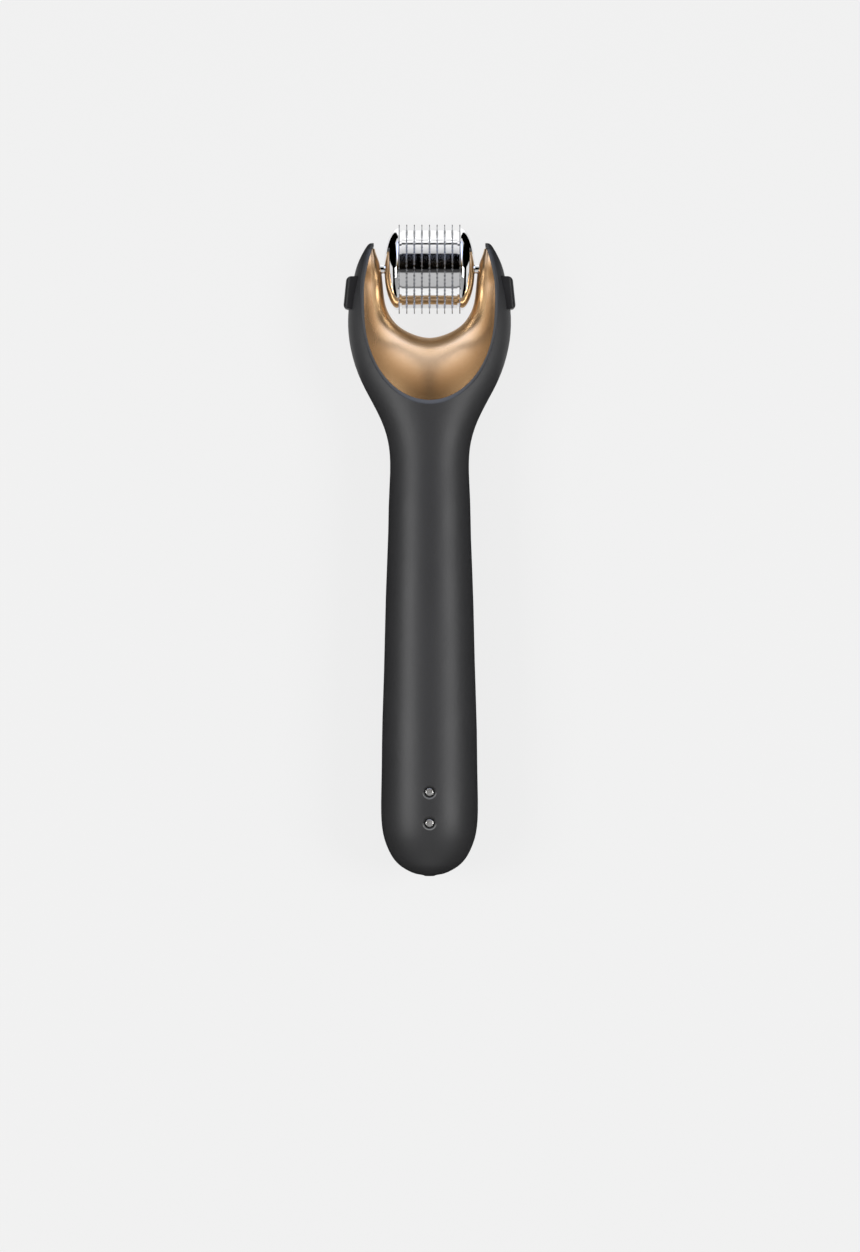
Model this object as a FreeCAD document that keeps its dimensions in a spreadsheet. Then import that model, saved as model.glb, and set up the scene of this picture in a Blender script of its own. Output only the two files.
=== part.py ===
import FreeCAD, Part
import math
import os
import re

import Sketcher
from FreeCAD import Placement, Rotation, Vector

# Rechargeable needle roller, lying on a table with its rear side up.
# X runs to the right, Y from the butt to the roller, Z up out of the rear side.
# "Along" is the distance from the butt. Heights are given from the handle axis,
# and the helpers add the offset that puts the bottom of the part at Z = 0.

doc = FreeCAD.newDocument("derma_roller")
dims = doc.addObject("Spreadsheet::Sheet", "Dims")

# Casing sections: distance from the butt, half width, half depth
CASING_SECTIONS = [
    (0.0, 1.2, 1.1),
    (0.5, 3.3, 3.0),
    (1.0, 4.85, 4.4),
    (1.7, 6.25, 5.7),
    (2.7, 7.8, 7.15),
    (4.4, 9.5, 8.7),
    (8.3, 11.6, 10.65),
    (12.4, 12.7, 11.65),
    (18.4, 13.08, 12.0),
    (32.6, 12.87, 11.75),
    (48.8, 12.5, 11.3),
    (65.0, 12.06, 10.75),
    (81.2, 11.6, 10.2),
    (97.4, 11.08, 9.6),
    (105.5, 10.78, 9.3),
    (111.2, 10.62, 9.15),
    (115.0, 10.85, 9.15),
    (118.5, 11.5, 9.2),
    (122.0, 12.65, 9.35),
    (125.8, 14.4, 9.5),
    (130.0, 16.65, 9.7),
    (134.5, 18.85, 9.9),
    (139.3, 20.55, 10.0),
    (144.1, 21.6, 10.05),
    (149.5, 22.0, 9.95),
    (154.0, 21.75, 9.75),
    (158.5, 21.0, 9.4),
    (162.5, 20.2, 8.9),
    (165.7, 19.2, 8.2),
    (168.0, 18.1, 7.3),
    (169.4, 17.3, 6.5),
    (170.3, 16.65, 5.6),
    (170.7, 16.1, 4.9),
]

# Saddle sections: outer end at the casing rim, inner end at the roller gap
SADDLE_SECTIONS = [
    (0.0, 128.1, 0.0, 145.25),
    (5.2, 129.15, 4.4, 146.2),
    (9.6, 131.9, 7.6, 147.85),
    (13.4, 136.4, 9.9, 150.05),
    (16.0, 142.0, 11.4, 152.7),
    (17.25, 147.8, 12.15, 155.4),
    (17.6, 153.5, 12.5, 158.2),
    (17.5, 160.0, 12.75, 161.0),
    (16.85, 163.7, 13.15, 163.9),
    (16.1, 166.9, 14.0, 166.8),
    (15.35, 169.2, 14.75, 169.2),
]

SIZES = [
    ("casing_wall", 1.5, "casing wall thickness"),
    ("lip_bevel", 1.1, "width of the bevelled casing lip around the saddle"),
    ("lip_depth", 0.55, "depth of that bevel at its inner edge"),
    ("running_gap", 0.05, "clearance of a turning or sliding fit, each side"),
    ("loose_gap", 0.1, "clearance of a guided cap in its opening, each side"),
    ("saddle_wall", 1.0, "saddle skin thickness"),
    ("saddle_drop", 0.7, "step from the casing lip down to the saddle"),
    ("saddle_fullness", 0.66, "how square the saddle bulge is, 0.55 is an ellipse"),
    ("saddle_tab_x", 9.3, "sideways place of the saddle fixing tabs"),
    ("saddle_tab_along", 127.0, "place of the saddle fixing tabs along the handle"),
    ("saddle_tab_half", 1.5, "half thickness of a saddle tab"),
    ("post_radius", 1.5, "snap post radius"),
    ("post_boss_radius", 2.5, "boss around a snap post"),
    ("post_top", 5.2, "height of a snap post above the axis"),
    ("butt_post_along", 8.2, "place of the butt snap post"),
    ("side_post_x", 8.2, "side snap posts, sideways"),
    ("side_post_along", 64.0, "side snap posts, along the handle"),
    ("side_post_radius", 0.9, "side snap post radius"),
    ("side_boss_radius", 1.6, "boss around a side snap post"),
    ("roller_station", 163.73, "roller axle distance from the butt"),
    ("needle_tip_radius", 12.0, "radius over the needle tips"),
    ("needle_root_radius", 10.3, "radius at the needle roots"),
    ("needle_root_half", 0.24, "half width of a needle at its root"),
    ("needle_count", 60, "needles on one disc"),
    ("disc_thickness", 0.25, "needle disc thickness"),
    ("disc_pitch", 2.045, "distance between needle discs"),
    ("drum_radius", 10.58, "spacer ring radius"),
    ("drum_step_radius", 10.1, "radius of the outermost step of the end rings"),
    ("drum_step", 0.56, "width of that step"),
    ("hub_flat", 4.2, "hub hexagon, centre to flat"),
    ("hub_half_length", 9.5, "half length of the hub"),
    ("cap_radius", 11.1, "end cap radius"),
    ("cap_rim", 0.12, "straight rim of an end cap"),
    ("cap_dome", 3.88, "dome height of an end cap"),
    ("pin_radius", 1.3, "lock pin nose radius"),
    ("pin_reach", 11.0, "inner end of the lock pin"),
    ("pin_shoulder", 13.85, "end of the nose, start of the neck"),
    ("pin_neck_radius", 0.8, "lock pin neck radius"),
    ("pin_flange", 15.25, "start of the lock pin flange"),
    ("pin_flange_radius", 1.7, "lock pin flange radius"),
    ("pin_flange_thickness", 0.5, "lock pin flange thickness"),
    ("pin_tail", 0.85, "length of the spigot inside the spring"),
    ("spring_seat", 18.1, "outer seat of the lock spring"),
    ("spring_boss_start", 17.4, "inner face of the spring boss"),
    ("spring_boss_radius", 2.4, "spring boss radius"),
    ("spring_pocket_radius", 1.85, "spring pocket radius"),
    ("spring_wire_radius", 0.13, "lock spring wire radius"),
    ("spring_coil_radius", 1.25, "lock spring mean radius"),
    ("spring_turns", 3.5, "lock spring turns"),
    ("lever_pivot_x", 15.2, "lever pivot, sideways"),
    ("lever_pivot_along", 160.5, "lever pivot, along the handle"),
    ("lever_arm", 3.2, "distance from the pivot to each lever end"),
    ("lever_boss_radius", 1.15, "lever boss radius"),
    ("lever_thickness", 0.7, "lever arm thickness"),
    ("lever_offset", 0.35, "upper arm inside, lower arm outside the pivot"),
    ("lever_half_width", 1.5, "half width of the lever"),
    ("lever_slot_half", 0.95, "half width of the lever slot around the pin neck"),
    ("pivot_radius", 0.5, "pivot pin radius"),
    ("pivot_half_length", 2.7, "half length of a pivot pin"),
    ("pivot_boss_radius", 1.1, "saddle boss around a pivot pin"),
    ("button_along", 157.3, "release button centre along the handle"),
    ("button_half_length", 4.4, "release button half length"),
    ("button_half_width", 2.9, "release button half width"),
    ("button_inner", 17.9, "inner face of the release button"),
    ("button_top", 22.4, "outer face at the roller end"),
    ("button_bottom", 23.3, "outer face at the handle end"),
    ("button_tab", 0.6, "release button retaining tab, thickness and reach"),
    ("button_nose", 16.25, "inner end of the release button nose"),
    ("button_nose_half", 1.2, "release button nose half width"),
    ("button_round", 0.9, "rounding of the upper outer corner"),
    ("contact_low", 14.7, "lower charging contact, along the handle"),
    ("contact_high", 23.0, "upper charging contact, along the handle"),
    ("contact_radius", 1.1, "contact pin radius"),
    ("contact_face", 11.45, "contact face height above the axis"),
    ("contact_floor", 10.9, "floor of the recess around a contact"),
    ("contact_bevel", 11.5, "start of the bevel at the recess mouth"),
    ("contact_seat", 10.0, "inner seat of the contact seal"),
    ("contact_seal", 0.4, "contact seal thickness"),
    ("contact_flange", 0.5, "contact pin flange thickness"),
    ("contact_stem_radius", 0.5, "contact pin stem radius"),
    ("contact_flange_radius", 1.8, "contact pin flange radius"),
    ("contact_bore_radius", 1.45, "recess around a contact"),
    ("charge_board_top", 8.0, "charge board height above the axis"),
    ("charge_board_thickness", 1.0, "charge board thickness"),
    ("charge_board_half", 4.5, "charge board half width"),
    ("charge_board_start", 11.2, "charge board end near the butt"),
    ("charge_board_end", 26.5, "charge board end near the battery"),
    ("charge_screw_x", 3.2, "charge board screws, sideways"),
    ("screw_radius", 0.75, "screw shank radius"),
    ("screw_head_radius", 1.4, "screw head radius"),
    ("screw_head", 0.8, "screw head height"),
    ("board_half", 6.2, "main board half width"),
    ("board_top", -3.0, "main board upper face"),
    ("board_thickness", 1.0, "main board thickness"),
    ("board_start", 25.6, "main board end near the butt"),
    ("board_end", 97.0, "main board end near the motor"),
    ("frame_top", 1.8, "inner frame upper face"),
    ("frame_end", 121.0, "inner frame end near the saddle"),
    ("frame_screw_x", 4.4, "frame screws, sideways"),
    ("frame_screw_low", 30.0, "lower frame screws, along the handle"),
    ("frame_screw_high", 82.0, "upper frame screws, along the handle"),
    ("battery_radius", 5.0, "battery cell radius"),
    ("battery_length", 44.0, "battery cell length"),
    ("battery_start", 33.3, "battery end near the butt"),
    ("battery_height", 2.8, "battery axis above the handle axis"),
    ("motor_radius", 3.5, "vibration motor radius"),
    ("motor_length", 14.0, "vibration motor length"),
    ("motor_start", 100.0, "vibration motor end near the battery"),
    ("motor_height", 2.0, "motor axis above the handle axis"),
    ("sleeve_wall", 0.7, "rubber sleeve wall"),
    ("shaft_radius", 0.5, "motor shaft radius"),
    ("weight_radius", 2.9, "eccentric weight radius"),
    ("weight_length", 3.6, "eccentric weight length"),
    ("power_along", 90.0, "power button, along the handle"),
    ("power_radius", 4.5, "power button radius"),
    ("power_flange_radius", 5.4, "power button flange radius"),
    ("power_flange_low", -6.8, "power button flange, outer face"),
    ("power_flange", 0.7, "power button flange thickness"),
    ("switch_half", 2.25, "key switch half size"),
    ("switch_height", 1.0, "key switch body height"),
    ("switch_stem", 0.5, "key switch stem length"),
    ("window_along", 76.0, "status light, along the handle"),
    ("window_radius", 0.9, "status light pipe radius"),
    ("window_collar_low", -8.7, "light pipe collar, outer face"),
    ("lead_radius", 0.35, "wire insulation radius"),
]

FRAME_Y = "-(roller_station + needle_tip_radius) / 2"
FRAME_Z = "needle_tip_radius"


def fill_sheet():
    rows = list(SIZES)
    for index, (along, half_width, half_depth) in enumerate(CASING_SECTIONS):
        rows.append(("casing_along_%02d" % index, along, "casing section, from the butt"))
        rows.append(("casing_width_%02d" % index, half_width, "casing section, half width"))
        rows.append(("casing_depth_%02d" % index, half_depth, "casing section, half depth"))
    for index, section in enumerate(SADDLE_SECTIONS):
        for word, number in zip(("rim_x", "rim_along", "gap_x", "gap_along"), section):
            rows.append(("saddle_%s_%02d" % (word, index), number, "saddle section"))
    for row, (alias, number, meaning) in enumerate(rows, start=1):
        dims.set("A%d" % row, alias)
        dims.set("B%d" % row, str(number))
        dims.set("C%d" % row, meaning)
        dims.setAlias("B%d" % row, alias)
    doc.recompute()
    return [alias for alias, number, meaning in rows]


ALIASES = fill_sheet()


def size(alias):
    return float(dims.get(alias))


def bound(text):
    """Expression text with every alias pointed at the sheet."""
    def swap(match):
        word = match.group()
        return "Dims." + word if word in ALIASES else word
    return re.sub(r"[a-z]\w*", swap, str(text))


def number(text):
    """Value of an expression, for drawing a sketch before it is bound."""
    worked = re.sub(r"[a-z]\w*", lambda match: repr(size(match.group())), str(text))
    holder = doc.addObject("App::FeaturePython", "Probe")
    holder.addProperty("App::PropertyFloat", "Value")
    holder.setExpression("Value", worked)
    holder.recompute()
    result = holder.Value
    doc.removeObject(holder.Name)
    return result


# Direction of a primitive's own axis
TURNS = {
    "+x": Rotation(Vector(0, 0, 1), Vector(1, 0, 0)),
    "-x": Rotation(Vector(0, 0, 1), Vector(-1, 0, 0)),
    "+y": Rotation(Vector(0, 0, 1), Vector(0, 1, 0)),
    "+z": Rotation(),
    "-z": Rotation(Vector(1, 0, 0), 180),
    "x to z": Rotation(Vector(1, 0, 0), Vector(0, 0, 1)),
}


def put(obj, at, turn=None):
    """Place by expressions: sideways, along the handle, height from the axis."""
    if turn is not None:
        obj.Placement = Placement(Vector(), turn)
    x, along, height = at
    obj.setExpression("Placement.Base.x", bound(x))
    obj.setExpression("Placement.Base.y", bound("%s + (%s)" % (FRAME_Y, along)))
    obj.setExpression("Placement.Base.z", bound("%s + (%s)" % (FRAME_Z, height)))
    return obj


def make(kind, label, **sizes):
    obj = doc.addObject(kind, label)
    obj.Label = label
    for name, text in sizes.items():
        obj.setExpression(name, bound(text))
    return obj


def rod(label, at, direction, radius, length):
    obj = make("Part::Cylinder", label, Radius=radius, Height=length)
    return put(obj, at, TURNS[direction])


def block(label, low, high):
    """Box between two corners."""
    spans = ["(%s) - (%s)" % (top, base) for base, top in zip(low, high)]
    obj = make("Part::Box", label, Length=spans[0], Width=spans[1], Height=spans[2])
    return put(obj, low)


def join(label, parts):
    obj = make("Part::MultiFuse", label)
    obj.Shapes = parts
    return obj


def cut(label, base, tools):
    obj = make("Part::Cut", label)
    obj.Base = base
    obj.Tool = tools[0] if len(tools) == 1 else join(label + "_tools", tools)
    return obj


def shared(label, parts):
    obj = make("Part::MultiCommon", label)
    obj.Shapes = parts
    return obj


def mirrored(label, source):
    obj = make("Part::Mirroring", label)
    obj.Source = source
    obj.Normal = Vector(1, 0, 0)
    return obj


def coded(label, shape):
    obj = doc.addObject("Part::Feature", label)
    obj.Label = label
    obj.Shape = shape
    return obj


def outline_sketch(body, points):
    """Closed outline on the body's own XY plane, every corner bound to the sheet."""
    plane = [item for item in body.Origin.OriginFeatures if item.Role == "XY_Plane"][0]
    sketch = body.newObject("Sketcher::SketchObject", body.Label + "_outline")
    sketch.AttachmentSupport = [(plane, "")]
    sketch.MapMode = "FlatFace"
    corners = [Vector(number(x), number(y), 0) for x, y in points]
    count = len(corners)
    for index in range(count):
        sketch.addGeometry(Part.LineSegment(corners[index], corners[(index + 1) % count]), False)
    for index in range(count):
        sketch.addConstraint(Sketcher.Constraint("Coincident", index, 2, (index + 1) % count, 1))
    for index, (x, y) in enumerate(points):
        for kind, text, axis in (("DistanceX", x, -2), ("DistanceY", y, -1)):
            value = number(text)
            if abs(value) < 1e-9:
                sketch.addConstraint(Sketcher.Constraint("PointOnObject", index, 1, axis))
                continue
            row = sketch.addConstraint(Sketcher.Constraint(kind, -1, 1, index, 1, value))
            sketch.setExpression("Constraints[%d]" % row, bound(text))
    return sketch


def padded_body(label, points, thickness, at, turn):
    """Outline padded evenly to both sides of its plane."""
    body = doc.addObject("PartDesign::Body", label)
    body.Label = label
    sketch = outline_sketch(body, points)
    pad = body.newObject("PartDesign::Pad", label + "_pad")
    pad.Profile = sketch
    pad.Midplane = True
    pad.setExpression("Length", bound(thickness))
    body.Tip = pad
    return put(body, at, turn)


def turned_body(label, points, at, turn):
    """Outline turned once around its own X axis."""
    body = doc.addObject("PartDesign::Body", label)
    body.Label = label
    sketch = outline_sketch(body, points)
    revolution = body.newObject("PartDesign::Revolution", label + "_revolution")
    revolution.Profile = sketch
    revolution.ReferenceAxis = (sketch, ["H_Axis"])
    revolution.Angle = 360
    body.Tip = revolution
    return put(body, at, turn)


nodes = {}

# Outer form of the casing and its cavity, both lofted through ellipses


def ellipse(label, along, half_width, half_depth):
    obj = make("Part::Ellipse", label, MajorRadius=half_width, MinorRadius=half_depth)
    return put(obj, ("0", along, "0"), TURNS["+y"])


def loft(label, sections):
    obj = make("Part::Loft", label)
    obj.Sections = sections
    obj.Solid = True
    obj.Ruled = False
    return obj


outer_ellipses = []
cavity_ellipses = []
widest = max(range(len(CASING_SECTIONS)), key=lambda index: CASING_SECTIONS[index][1] < 13.1 and
             CASING_SECTIONS[index][1])
last_cavity = len(CASING_SECTIONS) - 4
for index in range(len(CASING_SECTIONS)):
    along = "casing_along_%02d" % index
    width = "casing_width_%02d" % index
    depth = "casing_depth_%02d" % index
    outer_ellipses.append(ellipse("outer_section_%02d" % index, along, width, depth))
    if 2 <= index < widest:
        lean = "(%s / casing_width_%02d)" % (width, widest)
        cavity_ellipses.append(ellipse(
            "cavity_section_%02d" % index,
            "%s + casing_wall * (1 - %s)" % (along, lean),
            "%s - casing_wall * %s" % (width, lean),
            "%s - casing_wall * %s" % (depth, lean)))
    if widest <= index <= last_cavity:
        cavity_ellipses.append(ellipse(
            "cavity_section_%02d" % index, along,
            width + " - casing_wall", depth + " - casing_wall"))
outer_form = loft("outer_form", outer_ellipses)
cavity = loft("cavity", cavity_ellipses)
doc.recompute()

# Region inside the casing rim, where the saddle and the roller sit


def saddle_point(kind, index, side):
    x = size("saddle_%s_x_%02d" % (kind, index)) * side
    along = size("saddle_%s_along_%02d" % (kind, index))
    return Vector(x, along + butt, 0)


butt = -(size("roller_station") + size("needle_tip_radius")) / 2
axis = size("needle_tip_radius")
order = [(index, -1) for index in range(len(SADDLE_SECTIONS) - 1, 0, -1)]
order += [(index, 1) for index in range(len(SADDLE_SECTIONS))]

rim_points = [saddle_point("rim", index, side) for index, side in order]
rim_curve = Part.BSplineCurve()
rim_curve.interpolate(rim_points)
rim_beyond = rim_points[-1] + Vector(-0.3, 0.7, 0)
rim_top = 20.0
rim_corners = [
    rim_points[-1],
    rim_beyond,
    rim_beyond + Vector(0, rim_top, 0),
    Vector(-rim_beyond.x, rim_beyond.y + rim_top, 0),
    Vector(-rim_beyond.x, rim_beyond.y, 0),
    rim_points[0],
]
rim_wire = Part.Wire([rim_curve.toShape()] + Part.makePolygon(rim_corners).Edges)
rim_region = make("Part::Extrusion", "rim_region")
rim_region.Base = coded("rim_outline", rim_wire)
rim_region.DirMode = "Custom"
rim_region.Dir = Vector(0, 0, 1)
rim_region.Solid = True
rim_region.Symmetric = False
rim_region.LengthFwd = axis * 2 + 10
rim_region.LengthRev = 10
doc.recompute()

# Saddle form: half ovals standing on the rim, widest at the roller gap


def rim_height(point):
    """Half depth of the casing surface straight above a rim point."""
    probe = Part.makeLine(Vector(point.x, point.y, axis), Vector(point.x, point.y, axis + 40))
    return outer_form.Shape.common(probe).Length


def saddle_section(index, side, inset):
    rim = saddle_point("rim", index, side)
    gap = saddle_point("gap", index, side)
    run = (gap - rim).Length
    toward = (gap - rim).normalize()
    back = 0.6 + inset
    height = rim_height(rim) - size("saddle_drop") - inset
    full = size("saddle_fullness")
    reach = run - inset
    span = reach + back
    start = rim - toward * back
    quarters = []
    for sign in (1, -1):
        poles = [
            start + Vector(0, 0, axis + sign * height),
            start + toward * (span * full) + Vector(0, 0, axis + sign * height),
            start + toward * span + Vector(0, 0, axis + sign * height * full),
            start + toward * span + Vector(0, 0, axis),
        ]
        curve = Part.BezierCurve()
        curve.setPoles(poles if sign > 0 else poles[::-1])
        quarters.append(curve.toShape())
    foot = Part.makeLine(quarters[1].valueAt(quarters[1].LastParameter),
                         quarters[0].valueAt(quarters[0].FirstParameter))
    return Part.Wire(quarters + [foot])


def saddle_loft(label, inset, members):
    sections = []
    for index, side in members:
        wire = saddle_section(index, side, inset)
        sections.append(coded("%s_%02d_%s" % (label, index, "l" if side < 0 else "r"), wire))
    return loft(label, sections)


def lip_section(index, side):
    """Wedge above the bevelled lip, in the upright plane through a rim point."""
    rim = saddle_point("rim", index, side)
    away = (rim - saddle_point("gap", index, side)).normalize()
    height = rim_height(rim)
    width = size("lip_bevel")
    low = Vector(0, 0, axis + height - size("lip_depth"))
    high = Vector(0, 0, axis + rim_height(rim + away * width))
    foot = rim + low
    crest = rim + away * width + high
    back = rim - away * 0.3
    corners = [foot, foot + (crest - foot) * 2.0, back + low + Vector(0, 0, 3), back + low]
    return Part.makePolygon(corners + corners[:1])


lip_room_rear = loft("lip_room_rear", [
    coded("lip_%02d_%s" % (index, "l" if side < 0 else "r"), lip_section(index, side))
    for index, side in order])
lip_room_front = make("Part::Mirroring", "lip_room_front")
lip_room_front.Source = lip_room_rear
lip_room_front.Normal = Vector(0, 0, 1)
lip_room_front.setExpression("Base.z", bound("needle_tip_radius"))
saddle_form = saddle_loft("saddle_form", 0.0, order)
hollow_order = [(index, side) for index, side in order if index <= len(SADDLE_SECTIONS) - 2]
saddle_hollow = saddle_loft("saddle_hollow", size("saddle_wall"), hollow_order)
saddle_block = shared("saddle_block", [saddle_form, rim_region])

# Release mechanism, right side: button, lever, pivot pin, lock pin and spring


lock_pin_form = turned_body("right_lock_pin_form", [
    ("pin_reach", "0"),
    ("pin_reach", "pin_radius - 0.3"),
    ("pin_reach + 0.3", "pin_radius"),
    ("pin_shoulder", "pin_radius"),
    ("pin_shoulder", "pin_neck_radius"),
    ("pin_flange", "pin_neck_radius"),
    ("pin_flange", "pin_flange_radius"),
    ("pin_flange + pin_flange_thickness", "pin_flange_radius"),
    ("pin_flange + pin_flange_thickness", "pin_neck_radius"),
    ("pin_flange + pin_flange_thickness + pin_tail", "pin_neck_radius"),
    ("pin_flange + pin_flange_thickness + pin_tail", "0"),
], ("0", "roller_station", "0"), None)

button_body = padded_body("right_button_body", [
    ("button_inner", "-button_half_length"),
    ("button_bottom - 0.25", "-button_half_length"),
    ("button_bottom", "0.25 - button_half_length"),
    ("button_top", "button_half_length - button_round"),
    ("button_top - button_round * 0.3", "button_half_length - button_round * 0.3"),
    ("button_top - button_round", "button_half_length"),
    ("button_inner", "button_half_length"),
], "button_half_width * 2", ("0", "button_along", "0"), None)
button_nose = block(
    "right_button_nose",
    ("button_nose", "lever_pivot_along - lever_arm - 1", "-button_nose_half"),
    ("button_inner + 0.5", "lever_pivot_along - lever_arm + running_gap", "button_nose_half"))
button_tab = block(
    "right_button_tab",
    ("button_inner", "button_along - button_half_length - button_tab", "-2"),
    ("button_inner + button_tab", "button_along - button_half_length + 0.2", "2"))
nodes["right_release_button"] = join("right_release_button", [button_body, button_nose, button_tab])

lever_inside = "lever_pivot_x - lever_offset"
lever_outside = "lever_pivot_x + lever_offset + 0.3"
lever_top = "lever_pivot_along + lever_arm"
lever_bottom = "lever_pivot_along - lever_arm"
lever_parts = [
    block("lever_upper_arm",
          (lever_inside + " - lever_thickness / 2", "lever_pivot_along", "-lever_half_width"),
          (lever_inside + " + lever_thickness / 2", lever_top, "lever_half_width")),
    block("lever_lower_arm",
          (lever_outside + " - lever_thickness / 2", lever_bottom, "-lever_half_width"),
          (lever_outside + " + lever_thickness / 2", "lever_pivot_along", "lever_half_width")),
    rod("lever_boss", ("lever_pivot_x", "lever_pivot_along", "-lever_half_width"), "+z",
        "lever_boss_radius", "lever_half_width * 2"),
    rod("lever_upper_end", (lever_inside, lever_top, "-lever_half_width"), "+z",
        "lever_thickness / 2", "lever_half_width * 2"),
    rod("lever_lower_end", (lever_outside, lever_bottom, "-lever_half_width"), "+z",
        "lever_thickness / 2", "lever_half_width * 2"),
]
lever_slot = block("lever_slot",
                   (lever_inside + " - 1", lever_top + " - 1", "-lever_slot_half"),
                   (lever_inside + " + 1", lever_top + " + 1", "lever_slot_half"))
lever_hole = rod("lever_hole", ("lever_pivot_x", "lever_pivot_along", "-3"), "+z",
                 "pivot_radius + running_gap", "6")
nodes["right_lever"] = cut("right_lever", join("right_lever_form", lever_parts),
                           [lever_slot, lever_hole])
nodes["right_pivot_pin"] = rod(
    "right_pivot_pin", ("lever_pivot_x", "lever_pivot_along", "-pivot_half_length"), "+z",
    "pivot_radius", "pivot_half_length * 2")
nodes["right_lock_pin"] = lock_pin_form

spring_start = size("pin_flange") + size("pin_flange_thickness") + size("spring_wire_radius")
spring_length = size("spring_seat") - size("spring_wire_radius") - spring_start
helix = Part.makeHelix(spring_length / size("spring_turns"), spring_length,
                       size("spring_coil_radius"))
helix.Placement = Placement(Vector(), TURNS["-x"])
helix_edges = Part.Wire(helix.Edges)
spring_head = helix_edges.Edges[0].valueAt(helix_edges.Edges[0].FirstParameter)
spring_run = helix_edges.Edges[0].tangentAt(helix_edges.Edges[0].FirstParameter)
spring_circle = Part.Wire(Part.makeCircle(size("spring_wire_radius"), spring_head, spring_run))
spring_shape = helix_edges.makePipeShell([spring_circle], True, True)
spring_form = put(coded("left_spring_form", spring_shape),
                  ("-%s" % spring_start, "roller_station", "0"))
nodes["right_spring"] = mirrored("right_spring", spring_form)

for name in ("release_button", "lever", "pivot_pin", "lock_pin", "spring"):
    nodes["left_" + name] = mirrored("left_" + name, nodes["right_" + name])

# Saddle: skin, ribs with fixing tabs, bosses for the lever pivots

saddle_additions = []
saddle_cuts = []
for side, word in ((1, "right"), (-1, "left")):
    middle = "%d * saddle_tab_x" % side
    saddle_additions.append(block(
        "saddle_rib_" + word,
        (middle + " - 0.6", "saddle_tab_along + 5", "-12"),
        (middle + " + 0.6", "roller_station - 14", "12")))
    pivot = "%d * lever_pivot_x" % side
    boss = rod("saddle_boss_" + word, (pivot, "lever_pivot_along", "-8"), "+z",
               "pivot_boss_radius", "16")
    lever_room = block("lever_room_" + word,
                       (pivot + " - 2", "lever_pivot_along - 2", "-lever_half_width - running_gap"),
                       (pivot + " + 2", "lever_pivot_along + 2", "lever_half_width + running_gap"))
    saddle_additions.append(cut("saddle_pivot_boss_" + word, boss, [lever_room]))
saddle_inside = shared("saddle_inside", [join("saddle_inserts", saddle_additions), saddle_block])
saddle_tabs = []
for side, word in ((1, "right"), (-1, "left")):
    middle = "%d * saddle_tab_x" % side
    saddle_tabs.append(block(
        "saddle_tab_" + word,
        (middle + " - 1.9", "saddle_tab_along - 2.2", "-saddle_tab_half"),
        (middle + " + 1.9", "saddle_tab_along + 7", "saddle_tab_half")))
    saddle_cuts.append(rod("saddle_tab_hole_" + word, (middle, "saddle_tab_along", "-3"), "+z",
                           "post_radius + running_gap", "6"))
pin_holes = rod("saddle_pin_holes", ("-20", "roller_station", "0"), "+x",
                "pin_radius + running_gap", "40")
saddle_skin = cut("saddle_skin", saddle_block, [saddle_hollow])
nodes["saddle"] = cut("saddle", join("saddle_whole", [saddle_skin, saddle_inside] + saddle_tabs),
                      saddle_cuts + [pin_holes, nodes["right_pivot_pin"], nodes["left_pivot_pin"]])

# Inside the handle: frame, board, battery, motor, charging board

frame_screw_parts = []
for side, word in ((1, "right"), (-1, "left")):
    for place in ("low", "high"):
        at = ("%d * frame_screw_x" % side, "frame_screw_" + place, "frame_top")
        name = "frame_screw_%s_%s" % (place, word)
        head = rod(name + "_head", at, "+z", "screw_head_radius", "screw_head")
        shank = rod(name + "_shank", at, "-z", "screw_radius", "frame_top - board_top + 4.6")
        frame_screw_parts.append(join(name, [head, shank]))
nodes["frame_screws"] = make("Part::Compound", "frame_screws")
nodes["frame_screws"].Links = frame_screw_parts

battery_end = "battery_start + battery_length"
motor_end = "motor_start + motor_length"
nodes["battery"] = rod("battery", ("0", "battery_start", "battery_height"), "+y",
                       "battery_radius", "battery_length")
tab_parts = [
    block("battery_tab_low", ("-2", "battery_start - 0.3", "board_top"),
          ("2", "battery_start", "battery_height + 2")),
    block("battery_tab_high", ("-2", battery_end, "board_top"),
          ("2", battery_end + " + 0.3", "battery_height + 2")),
]
nodes["battery_tabs"] = make("Part::Compound", "battery_tabs")
nodes["battery_tabs"].Links = tab_parts

motor_form = rod("motor_form", ("0", "motor_start", "motor_height"), "+y",
                 "motor_radius", "motor_length")
motor_bore = rod("motor_bore", ("0", motor_end + " - 3.2", "motor_height"), "+y",
                 "shaft_radius + running_gap", "4")
nodes["motor"] = cut("motor", motor_form, [motor_bore])
nodes["motor_shaft"] = rod("motor_shaft", ("0", motor_end + " - 3", "motor_height"), "+y",
                           "shaft_radius", "weight_length + 3.9")
weight_disc = rod("weight_disc", ("0", motor_end + " + 0.5", "motor_height"), "+y",
                  "weight_radius", "weight_length")
weight_half = block("weight_half", ("-5", motor_end, "motor_height - 5"),
                    ("5", motor_end + " + 6", "motor_height + 0.9"))
nodes["eccentric_weight"] = cut(
    "eccentric_weight", shared("weight_form", [weight_disc, weight_half]), [nodes["motor_shaft"]])
sleeve_form = rod("sleeve_form", ("0", "motor_start + 0.5", "motor_height"), "+y",
                  "motor_radius + sleeve_wall", "motor_length - 1")
nodes["motor_sleeve"] = cut("motor_sleeve", sleeve_form, [motor_form])

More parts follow.
